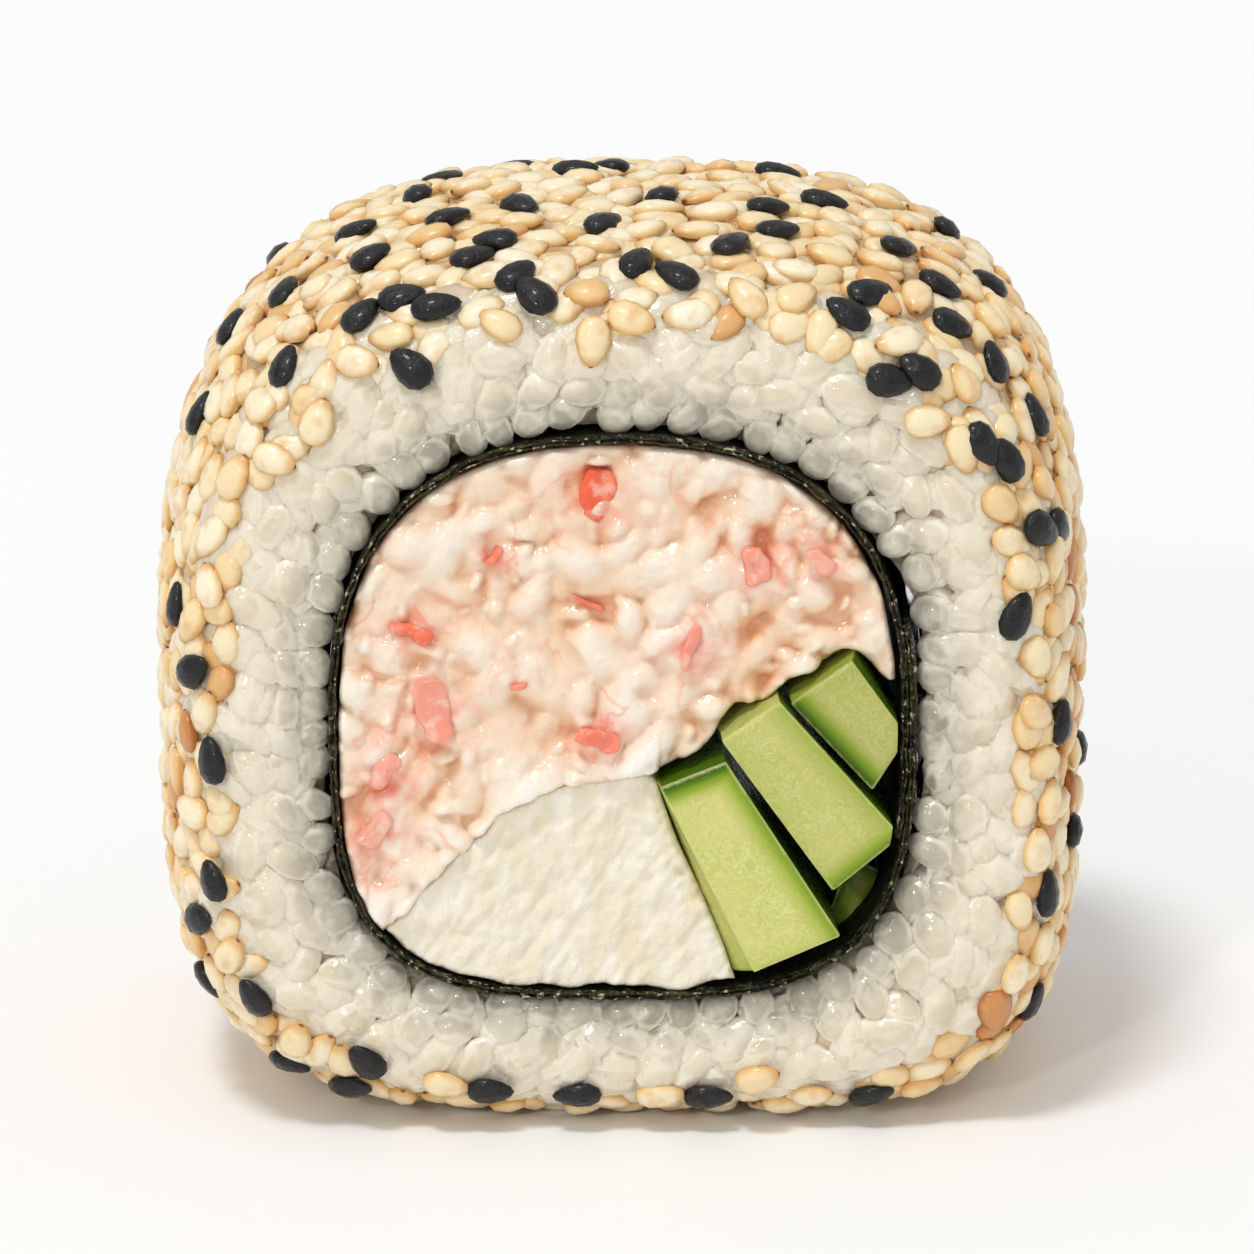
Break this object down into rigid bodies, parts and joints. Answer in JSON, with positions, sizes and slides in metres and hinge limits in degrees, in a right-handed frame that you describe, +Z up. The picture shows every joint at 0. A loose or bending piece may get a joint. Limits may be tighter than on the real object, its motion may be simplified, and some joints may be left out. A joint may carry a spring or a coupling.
{
  "type": "california roll piece",
  "caption": "Cut piece of an inside-out sushi roll: sesame-coated rice round nori, crab salad, cream cheese and cucumber, standing on its side.",
  "frame": {"origin": "centre of the bottom of the bounding box, on the surface that the piece stands on", "axes": "+Z up, +Y along the roll's axis away from the cut face seen in the picture, +X to the right seen from that face"},
  "size_m": [0.05, 0.0334, 0.0484],
  "materials": {
    "rice": "moist cooked rice grains, translucent white, coated outside in cream, toasted and black sesame",
    "nori": "dark green-black seaweed sheet, crinkled, with a slight shine",
    "crab_salad": "creamy flaked salad with red flecks, glossy",
    "cream_cheese": "soft white cheese with a fine torn grain",
    "cucumber": "moist pale green flesh with darker green skin edges"
  },
  "bodies": {
    "root": {"rice": "rice", "nori": "nori", "crab_salad": "crab_salad", "cream_cheese": "cream_cheese", "cucumber_1": "cucumber", "cucumber_2": "cucumber", "cucumber_3": "cucumber", "cucumber_4": "cucumber"}
  },
  "joints": []
}
